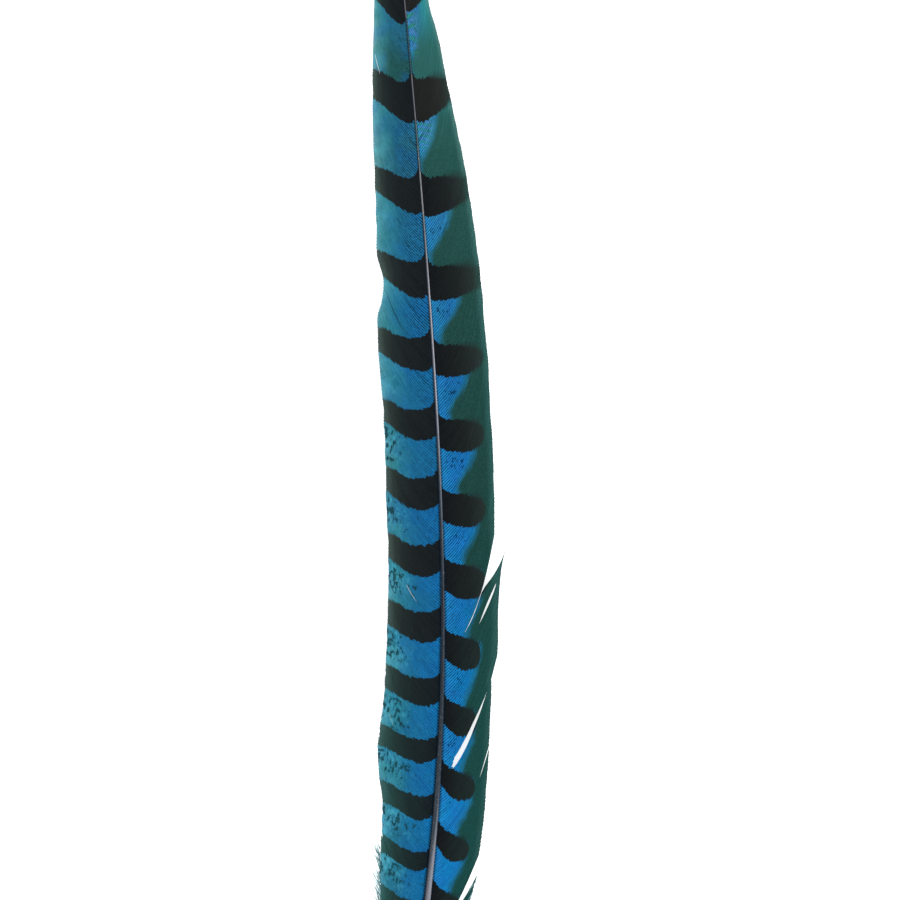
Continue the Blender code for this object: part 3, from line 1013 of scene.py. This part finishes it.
def bar_mask(n, soft_root, soft_edge, teeth, fade):
    """The dark bars: the bar value, moved a little from barb to barb, stepped over a soft width in mm.

    The width grows from soft_root to soft_edge outwards. On a bar's upper edge, up to fade more is added out
    from the middle of the web."""
    reach, _, cell = n.web_fields()
    jagged = n.times(n.level_noise(n.grain(0.9, 0.3, 1.0)), teeth)
    moved = n.plus(n.value("bar"), jagged, n.times(n.value("tone"), teeth * 0.2))
    above = n.times(n.step(cell, 0.5, 0.85), n.step(reach, 0.3, 0.75, 0.0, fade))
    soft = n.plus(n.step(reach, 0.5, 0.95, soft_root, soft_edge), above)
    return n.step(moved, n.times(soft, -1.0), soft)


def finish_web(n, surface, colour, barred, ribs, variation):
    """The barb grain over a web's colour, a painted shadow of the shaft over the barbs' dark roots beside it,
    and a paler duller underside.

    The grain is weaker in the bars, and ribs says how much of it shows elsewhere."""
    strength = n.times(n.plus(1.0, n.times(barred, -0.84)), ribs)
    # Painted shadow of the shaft, beaded along the barbs' edges, over the barbs' dark roots next to it
    wide = n.step(n.value("station"), 60, 330, 0.45, 1.1)
    shadow_beads = n.step(n.math("ABSOLUTE", n.value("rib")), 0.3, 0.9, 0.45, 1.0)
    beside = n.times(n.step(n.math("DIVIDE", n.run(), wide), 0.4, 1.1, 0.85, 0.0), shadow_beads)
    grain = n.group(
        BARB_GRAIN,
        Color=n.mix(beside, colour, seen(*ROOT_AND_SHAFT_SHADOW)),
        Rib=n.times(strength, 0.2),
        Gap=n.times(strength, 0.36),
        Variation=variation,
        Specks=n.plus(0.35, n.times(barred, -0.1), n.times(ribs, 0.35)),
    )
    pale = n.mix(0.45, grain["Color"], seen(*UNDER_COLOUR))
    n.put(surface.inputs["Base Color"], n.mix(n.value("under"), grain["Color"], pale))
    bump = n.add("ShaderNodeBump", {"Height": grain["Height"], "Strength": 0.2, "Distance": 0.00002})
    n.put(surface.inputs["Normal"], bump.outputs[0])


def patches(n, seed, scale):
    """A mask of soft patches some millimetres wide, slipped a little from barb to barb."""
    slip = n.times(n.value("tone"), 0.06)
    moved = n.add("ShaderNodeCombineXYZ", {"X": seed, "Y": slip}).outputs[0]
    return n.step(n.noise(n.vector("ADD", n.object_place(scale), moved), 2.0), 0.42, 0.66)


# Stops of the inner web's colours from the shaft to the edge, as (share of the width, colour). The paling
# over the last stops, at the very edge, is painted light: sheen and light through the thin barb ends.
INNER_TOP = [
    (0.1, (38, 99, 128)), (0.5, (39, 103, 130)), (0.7, (49, 122, 147)),
    (0.86, (70, 142, 156)), (0.95, (96, 164, 176)), (1.0, (136, 190, 198)),
]
INNER_MIDDLE = [
    (0.1, (25, 99, 147)), (0.5, (30, 105, 146)), (0.7, (41, 118, 152)),
    (0.86, (62, 138, 158)), (0.95, (84, 156, 174)), (1.0, (124, 182, 194)),
]
INNER_FOOT = [
    (0.1, (21, 108, 166)), (0.5, (30, 112, 156)), (0.7, (42, 124, 156)),
    (0.86, (54, 138, 162)), (0.95, (78, 154, 174)), (1.0, (112, 176, 192)),
]
INNER_GREEN = [
    (0.1, (37, 84, 84)), (0.5, (38, 86, 86)), (0.7, (50, 104, 106)),
    (0.86, (80, 138, 140)), (1.0, (132, 182, 186)),
]
INNER_BAR = [
    (0.1, (26, 31, 34)), (0.5, (31, 36, 38)), (0.72, (37, 45, 45)),
    (0.86, (50, 61, 58)), (0.98, (74, 90, 86)),
]
INNER_BAR_FOOT = [
    (0.1, (26, 34, 38)), (0.5, (32, 47, 48)), (0.72, (38, 62, 60)),
    (0.86, (44, 80, 77)), (0.98, (62, 106, 104)),
]
DEEP_BLUE, PALE_CYAN, DULL_TEAL = (22, 92, 160), (92, 188, 206), (42, 118, 118)  # the soft patches
MOTTLE_LIGHT, MOTTLE_DARK = (82, 182, 206), (27, 64, 70)


def inner_ground(n):
    """The inner web between its bars: deep blue by the shaft and teal at the edge, in soft patches.

    Each cell is greener at its foot, and the highest ones most of all."""
    reach, station, cell = n.web_fields()
    colour = n.mix(n.step(station, 85, 165), n.ramp(reach, *INNER_TOP), n.ramp(reach, *INNER_MIDDLE))
    colour = n.mix(n.step(station, 180, 280), colour, n.ramp(reach, *INNER_FOOT))
    where = n.plus(0.12, n.step(station, *TOP_CELL_END, 0.5, 0.0), n.step(station, 108, 124, 0.38, 0.0))
    colour = n.mix(n.times(n.step(cell, 0.0, 0.8), where), colour, n.ramp(reach, *INNER_GREEN))
    colour = n.mix(n.times(patches(n, 3.0, 120), 0.35), colour, seen(*DEEP_BLUE))
    outer = n.step(reach, 0.45, 0.95)
    colour = n.mix(n.times(patches(n, 7.0, 170), outer, 0.34), colour, seen(*PALE_CYAN))
    return n.mix(n.times(patches(n, 11.0, 150), n.step(reach, 0.3, 0.85), 0.42), colour, seen(*DULL_TEAL))


def inner_mottling(n, colour):
    """Dark mottling with paler ground between, in the outer part of each cell, and further in lower down."""
    reach, station, cell = n.web_fields()
    inside = n.times(n.step(cell, 0.0, 0.1), n.step(cell, 0.5, 1.0, 1.0, 0.4), n.step(station, 150, 195))
    first, full = n.step(station, 190, 320, 0.5, 0.1), n.step(station, 190, 320, 0.95, 0.75)
    density = n.times(n.step(reach, first, full, 0.22, 1.0), inside)
    mottle = n.group(MOTTLE, Density=density)
    light = n.times(mottle["Light"], n.step(reach, 0.4, 0.85, 0.15, 0.6))
    colour = n.mix(light, colour, seen(*MOTTLE_LIGHT))
    dark = n.times(mottle["Mask"], n.step(density, 0.05, 0.3), n.step(station, 240, 320, 0.9, 0.84))
    return n.mix(dark, colour, seen(*MOTTLE_DARK))


def inner_web_material():
    """The wider web: barred out to the edge and mottled towards its foot."""
    material, n, surface = new_material("inner web", 0.7, 0.04)
    reach, station, _ = n.web_fields()
    colour = inner_mottling(n, inner_ground(n))
    foot = n.step(station, 230, 320)
    dark = n.mix(foot, n.ramp(reach, *INNER_BAR), n.ramp(reach, *INNER_BAR_FOOT))
    barred = bar_mask(n, 0.12, 0.3, 1.3, 0.0)
    colour = n.mix(barred, colour, dark)
    ribs = n.times(
        n.step(reach, 0.2, 0.6, 1.0, 0.35),
        n.step(station, 84, 94, 1.5, 2.2),
        n.step(station, 168, 184, 1.0, 0.42),
        n.step(station, 230, 255, 1.0, 0.8),
    )
    finish_web(n, surface, colour, barred, ribs, n.step(reach, 0.3, 0.7, 0.36, 0.26))
    return material


# Stops of the outer web's colours down the feather between two stations, as (share of the way, colour)
OUTER_SPAN = (60, 330)
OUTER_BLUE = [
    (0.0, (58, 126, 160)), (0.08, (54, 128, 158)), (0.2, (40, 118, 154)), (0.35, (29, 106, 158)),
    (0.55, (25, 110, 170)), (0.85, (22, 116, 176)), (1.0, (24, 126, 190)),
]
OUTER_GREEN = [
    (0.0, (47, 103, 100)), (0.08, (38, 80, 76)), (0.25, (33, 69, 65)),
    (0.6, (30, 65, 61)), (1.0, (28, 72, 69)),
]
# Painted light at the very edge of the outer web, where the thin barb ends are lit through
OUTER_EDGE_LIGHT = [(0.0, (80, 125, 120)), (0.15, (60, 103, 100)), (0.4, (46, 88, 85)), (1.0, (46, 86, 83))]
# Its stops from the shaft to the edge, as (share of the width, colour)
OUTER_TEAL = [(0.1, (58, 122, 160)), (0.5, (50, 138, 162)), (0.8, (50, 142, 148)), (0.97, (88, 150, 150))]
OUTER_BAR = [
    (0.1, (26, 29, 31)), (0.5, (31, 36, 36)), (0.72, (38, 46, 45)),
    (0.86, (42, 55, 52)), (0.98, (46, 76, 72)),
]
FLANK_BLUE, PATCH_BLUE = (40, 134, 192), (34, 110, 186)
DUST, RIM, SPECK = (66, 122, 112), (38, 112, 126), (12, 42, 72)
BROWN_BAR, GREEN_BAR = (44, 44, 43), (33, 47, 46)
LILAC, LEAF_GREEN = (76, 132, 188), (56, 142, 122)


def past_border(n):
    """How far out from the blue flank's border a point lies, as a share of the width.

    The border starts past the middle of the web at the top of each cell, and runs in down the cell: to the
    shaft in the highest cells, and to a little inside the middle of the web towards the foot."""
    reach, station, cell = n.web_fields()
    start = n.step(station, 140, 215, 0.54, 0.66)
    end = n.step(station, 100, 275, 0.0, 0.47)
    border = n.plus(start, n.times(n.step(cell, 0.0, 0.9), n.plus(end, n.times(start, -1.0))))
    uneven = n.times(n.level_noise(n.grain(0.5, 0.3, 0.2), 3.0), 0.17)
    return n.plus(reach, uneven, n.times(border, -1.0))


def outer_flank(n):
    """The blue beside the shaft, brighter close to it and in patches."""
    reach, station, _ = n.web_fields()
    blue = n.ramp(n.step(station, *OUTER_SPAN), *OUTER_BLUE)
    blue = n.mix(n.step(reach, 0.05, 0.3, 0.5, 0.0), blue, seen(*FLANK_BLUE))
    return n.mix(n.times(patches(n, 5.0, 180), 0.4), blue, seen(*PATCH_BLUE))


def outer_margin(n):
    """The dark green margin: dusty, with painted light paling it at the very edge, and teal at the top of the
    highest cell.
    """
    reach, station, cell = n.web_fields()
    down = n.step(station, *OUTER_SPAN)
    green = n.mix(n.step(reach, 0.84, 0.98), n.ramp(down, *OUTER_GREEN), n.ramp(down, *OUTER_EDGE_LIGHT))
    high = n.times(n.step(cell, 0.0, 0.65, 1.0, 0.0), n.step(station, 84, 96, 1.0, 0.0))
    green = n.mix(high, green, n.ramp(reach, *OUTER_TEAL))
    dusty = n.step(n.noise(n.object_place(2200), 3.0), 0.35, 0.65)
    return n.mix(n.times(dusty, n.step(station, 150, 260, 0.14, 0.07)), green, seen(*DUST))


def outer_specks(n, past):
    """A few dark specks in the upper part of each blue flank."""
    reach, station, cell = n.web_fields()
    sparse = n.times(
        n.step(cell, 0.06, 0.16),
        n.step(cell, 0.3, 0.7, 1.0, 0.0),
        n.step(station, 110, 160, 0.5, 0.8),
        n.step(reach, 0.05, 0.14),
        n.step(reach, 0.35, 0.55, 1.0, 0.3),
        n.step(station, 280, 300, 1.0, 0.45),
    )
    return n.times(n.group(SPECKLE, Density=sparse)["Mask"], n.step(past, -0.12, -0.02, 1.0, 0.0), 0.85)


def outer_bar_colour(n):
    """Near black, browner in the highest bars and greener towards the foot."""
    reach, station, _ = n.web_fields()
    dark = n.mix(n.step(station, 92, 112, 0.5, 0.0), n.ramp(reach, *OUTER_BAR), seen(*BROWN_BAR))
    greener = n.times(n.step(reach, 0.15, 0.5), n.step(station, 225, 265, 0.0, 0.5))
    return n.mix(greener, dark, seen(*GREEN_BAR))


def outer_web_material():
    """The narrower web: blue by the shaft, a dark green margin that widens down each cell, lobed bars."""
    material, n, surface = new_material("outer web", 0.7, 0.04)
    station, past = n.value("station"), past_border(n)
    colour = n.mix(n.step(past, -0.07, 0.09), outer_flank(n), outer_margin(n))
    rim = n.times(n.step(past, -0.1, 0.0), n.step(past, 0.0, 0.1, 1.0, 0.0), 0.32)
    colour = shimmer(n, n.mix(rim, colour, seen(*RIM)))
    colour = n.mix(outer_specks(n, past), colour, seen(*SPECK))
    barred = bar_mask(n, 0.12, 1.1, 1.2, 1.6)
    colour = n.mix(barred, colour, outer_bar_colour(n))
    ribs = n.times(
        n.step(past, -0.1, 0.1, 1.2, 0.16),
        n.step(station, 84, 100, 0.8, 1.0),
        n.step(station, 280, 305, 1.0, 0.4),
    )
    finish_web(n, surface, colour, barred, ribs, n.step(past, -0.1, 0.1, 0.34, 0.15))
    return material


def shimmer(n, colour):
    """Soft lilac and green bands across the inner part of the two highest cells."""
    reach, station, cell = n.web_fields()
    drift = n.times(n.noise(n.grain(0.12, 0.1, 0.0), 0.0), 5.0)
    broad = n.math("SINE", n.plus(n.times(station, 1.7), n.times(reach, 1.5), drift))
    narrow = n.math("SINE", n.plus(n.times(station, 3.6), n.times(reach, -11.0), drift))
    bands = n.mix(n.step(station, *TOP_CELL_END), broad, narrow)
    lilac = n.step(bands, -0.3, 0.9)
    leafy = n.step(bands, -0.2, -0.95)
    out = n.step(station, *TOP_CELL_END, 0.34, 0.5)
    slant = n.plus(reach, n.times(cell, n.step(station, *TOP_CELL_END, 0.0, 0.35)))
    near = n.times(
        n.step(slant, n.times(out, 0.55), n.times(out, 1.15), 1.0, 0.0),
        n.step(cell, 0.25, 0.8, 1.0, 0.0),
        n.step(station, 98, 118, 1.0, 0.0),
    )
    strength = n.step(station, *TOP_CELL_END, 1.0, 0.75)
    colour = n.mix(n.times(lilac, near, strength, 0.7), colour, seen(*LILAC))
    return n.mix(n.times(leafy, near, strength, 0.85), colour, seen(*LEAF_GREEN))


# Stops of the horn's colour down the shaft, as (station, colour)
HORN = [
    (60, (30, 68, 78)), (84, (42, 76, 84)), (104, (70, 94, 100)), (114, (96, 106, 110)),
    (130, (112, 120, 128)), (148, (168, 166, 174)), (178, (162, 164, 176)), (200, (112, 118, 128)),
    (216, (74, 84, 94)), (236, (48, 56, 66)), (280, (42, 52, 62)), (310, (52, 62, 72)),
    (330, (80, 82, 92)), (372, (170, 172, 168)), (410, (205, 202, 190)),
]
HORN_BAR_HIGH, HORN_BAR_LOW = (112, 106, 108), (136, 134, 134)  # where it runs through the bars
# The pale streak is a painted highlight, and the sides' colour is painted shade
HORN_HIGHLIGHT, HORN_SIDE_SHADE = (150, 152, 162), (14, 28, 42)
HORN_FLECK, HORN_PALE_FLECK = (24, 32, 40), (168, 172, 178)
CLEARING = (118, 140)  # stations over which the shaft comes clear of the barbs beside it


def horn_side_shade(n):
    """A mask of the shaft's two sides, where painted shade darkens them as its round section turns from the
    light. The left one is widest in the middle of the feather.
    """
    station, face = n.value("station"), n.value("face")
    clear = n.plus(n.step(station, *CLEARING, 0.0, 0.35), n.step(station, 250, 300, 0.0, -0.6))
    hidden = n.plus(n.step(station, *CLEARING, -0.55, -0.3), n.step(station, 250, 300, 0.0, -0.5))
    left = n.times(n.step(face, clear, hidden), n.step(station, 110, 200, 0.75, 0.9))
    right = n.step(face, n.step(station, *CLEARING, 0.45, 0.7), n.step(station, *CLEARING, 0.85, 1.0))
    right = n.times(right, n.step(station, 110, 200, 0.6, 0.85))
    return n.times(n.plus(left, right), n.step(station, 350, 375, 1.0, 0.0))


def horn_material():
    """The shaft: a thin speckled line towards the tip, pale, then slate below, and cream at the quill.

    Towards the foot a painted highlight lies as a pale streak right of its middle."""
    material, n, surface = new_material("horn", 0.45, 0.2)
    station, face = n.value("station"), n.value("face")
    base = n.ramp(n.math("DIVIDE", station, LENGTH), *[(at / LENGTH, colour) for at, colour in HORN])
    pale_in_bars = n.times(n.step(n.value("bar"), -0.5, 0.5), n.step(station, 122, 145, 0.75, 0.0))
    bar_colour = n.mix(n.step(station, 98, 112), seen(*HORN_BAR_HIGH), seen(*HORN_BAR_LOW))
    base = n.mix(pale_in_bars, base, bar_colour)
    # A painted highlight: a pale streak right of the shaft's middle towards the foot
    streak = n.step(face, n.step(station, 300, 330, 0.1, -0.6), 0.5)
    base = n.mix(n.times(streak, n.step(station, 290, 325), 0.85), base, seen(*HORN_HIGHLIGHT))
    flecks = n.noise(n.grain(0.9, 5.0, 3.0), 3.0)
    colour = n.mix(n.step(flecks, 0.55, 0.72, 0.0, 0.5), base, seen(*HORN_FLECK))
    pale = n.times(
        n.step(flecks, 0.46, 0.3), n.step(station, 88, 110, 0.15, 0.6), n.step(station, 140, 220, 1.0, 0.35),
    )
    colour = n.mix(pale, colour, seen(*HORN_PALE_FLECK))
    # Painted shade on the shaft's two sides
    n.put(surface.inputs["Base Color"], n.mix(horn_side_shade(n), colour, seen(*HORN_SIDE_SHADE)))
    bump = n.add("ShaderNodeBump", {"Height": flecks, "Strength": 0.3, "Distance": 0.0001})
    n.put(surface.inputs["Normal"], bump.outputs[0])
    return material


LOOSE_STOPS = [(0.0, (62, 118, 122)), (0.35, (112, 158, 164)), (1.0, (182, 208, 212))]
DOWN_STOPS = [(0.0, (96, 128, 146)), (0.5, (128, 158, 172)), (1.0, (168, 190, 198))]


def strand_material(name, roughness, specular, stops, light, tone, scale, blotches):
    """Strands that change colour from root to end, each its own shade, in soft blotches."""
    material, n, surface = new_material(name, roughness, specular)
    base = n.ramp(n.value("run"), *stops)
    blotched = n.times(n.level_noise(n.object_place(scale)), blotches)
    light = n.plus(light, n.times(n.value("tone"), tone), blotched)
    n.put(surface.inputs["Base Color"], n.scaled(base, light))
    return material


def loose_material():
    """The loose ends: teal, darker at the root."""
    return strand_material("loose ends", 0.6, 0.08, LOOSE_STOPS, 1.0, 0.3, 900, 0.4)


def down_material():
    """The down: pale blue grey, paler at its threads' ends."""
    return strand_material("down", 0.85, 0.05, DOWN_STOPS, 0.95, 0.18, 250, 0.5)


# ---------------------------------------------------------------- the stage

VIEW_MIDDLE = 195.0  # station at the middle of the view
VIEW_RIGHT = 3.45  # mm from the shaft to the middle of the view
VIEW_SPAN = 270.0  # mm across the view
VIEW_LEVEL = 3.5  # mm over the table where that span is measured
LENS, SENSOR = 100, 36  # mm
CAMERA_RANGE = 20  # m


def make_camera():
    """Looks straight down from far off through a long lens, with the feather's tip at the top of the view."""
    data = bpy.data.cameras.new("camera")
    data.lens, data.sensor_width = LENS, SENSOR
    data.clip_end = CAMERA_RANGE
    distance = VIEW_SPAN * MM / 2 / math.tan(data.angle / 2)
    camera = bpy.data.objects.new("camera", data)
    point = place(np.array(VIEW_MIDDLE), np.array(0.0), np.array(VIEW_LEVEL))
    camera.location = (point[0] + VIEW_RIGHT * MM, point[1], point[2] + distance)
    bpy.context.scene.collection.objects.link(camera)
    bpy.context.scene.camera = camera


FLOOR_HALF = 3.0  # m
FLOOR_PALENESS = 0.93
FLOOR_GLOW = 0.75


def make_floor():
    """A plain pale table top, lit from below as well, so that it stays white in the feather's shadow."""
    half = FLOOR_HALF
    corners = [(-half, -half, 0), (half, -half, 0), (half, half, 0), (-half, half, 0)]
    data = bpy.data.meshes.new("floor")
    data.from_pydata(corners, [], [(0, 1, 2, 3)])
    material, _, surface = new_material("pale table", 0.9, 0.0)
    surface.inputs["Base Color"].default_value = (FLOOR_PALENESS, FLOOR_PALENESS, FLOOR_PALENESS, 1)
    surface.inputs["Emission Color"].default_value = (1, 1, 1, 1)
    surface.inputs["Emission Strength"].default_value = FLOOR_GLOW
    data.materials.append(material)
    floor = bpy.data.objects.new("floor", data)
    bpy.context.scene.collection.objects.link(floor)


LAMPS = [
    ("key", (1.1, 0.35, 1.0), 0.9, 20),
    ("fill", (-1.1, -0.3, 1.1), 1.2, 10),
    ("far", (0.1, 1.4, 0.9), 1.2, 6),
]  # (name, place in m, size in m, watts)
SKY_STRENGTH = 0.3


def make_lamp(name, location, size, power):
    """A square soft light turned to the middle of the feather."""
    data = bpy.data.lights.new(name, "AREA")
    data.shape, data.size, data.energy = "SQUARE", size, power
    lamp = bpy.data.objects.new(name, data)
    x, y, z = location
    lamp.location = location
    lamp.rotation_euler = (math.atan2(math.hypot(x, y), z), 0, math.atan2(y, x) + math.pi / 2)
    bpy.context.scene.collection.objects.link(lamp)


def make_light():
    """A key light from the right, weaker ones from the left and from beyond the tip, and an even pale sky."""
    for lamp in LAMPS:
        make_lamp(*lamp)
    world = bpy.data.worlds.new("sky")
    world.use_nodes = True
    world.node_tree.nodes["Background"].inputs["Color"].default_value = (1, 1, 1, 1)
    world.node_tree.nodes["Background"].inputs["Strength"].default_value = SKY_STRENGTH
    bpy.context.scene.world = world
    bpy.context.scene.view_settings.view_transform = "Standard"


# ---------------------------------------------------------------- the feather

# Starts of the random draws
SEEDS = {-1: 11, 1: 23}
DOWN_SEED = 31


def make_webs():
    """The two webs. The right one's barbs end on three edges, because its splits part it into three."""
    left_edges = [(0, LENGTH, LEFT_EDGE)]
    left = make_barbs("left_barbs", -1, left_edges, curve_through(LEFT_EDGE), SEEDS[-1], inner_web_material())
    hand_over(left, "left_web")
    right_edges = [
        (0, SPLIT_ROOT, RIGHT_EDGE),
        (SPLIT_ROOT, FOOT_ROOT, RIGHT_EDGE_LOW),
        (FOOT_ROOT, LENGTH, RIGHT_EDGE_FOOT),
    ]
    above = [point for point in RIGHT_EDGE if point[0] < SPLIT_MOUTH[0]]
    below = [point for point in RIGHT_EDGE_LOW if point[0] > SPLIT_MOUTH[1]]
    whole = curve_through(above + below)
    right = make_barbs("right_barbs", 1, right_edges, whole, SEEDS[1], outer_web_material())
    hand_over(right, "right_web")


def main():
    """Makes the feather from the shaft outwards, then the stage."""
    hand_over(make_shaft(horn_material()), "shaft")
    make_webs()
    hand_over(make_loose_barbs(loose_material()))
    fluff = down_material()
    for name, side in (("left_down", -1), ("right_down", 1)):
        hand_over(make_down(name + "_barbs", side, DOWN_SEED + side, fluff), name)
    make_floor()
    make_light()
    make_camera()


main()
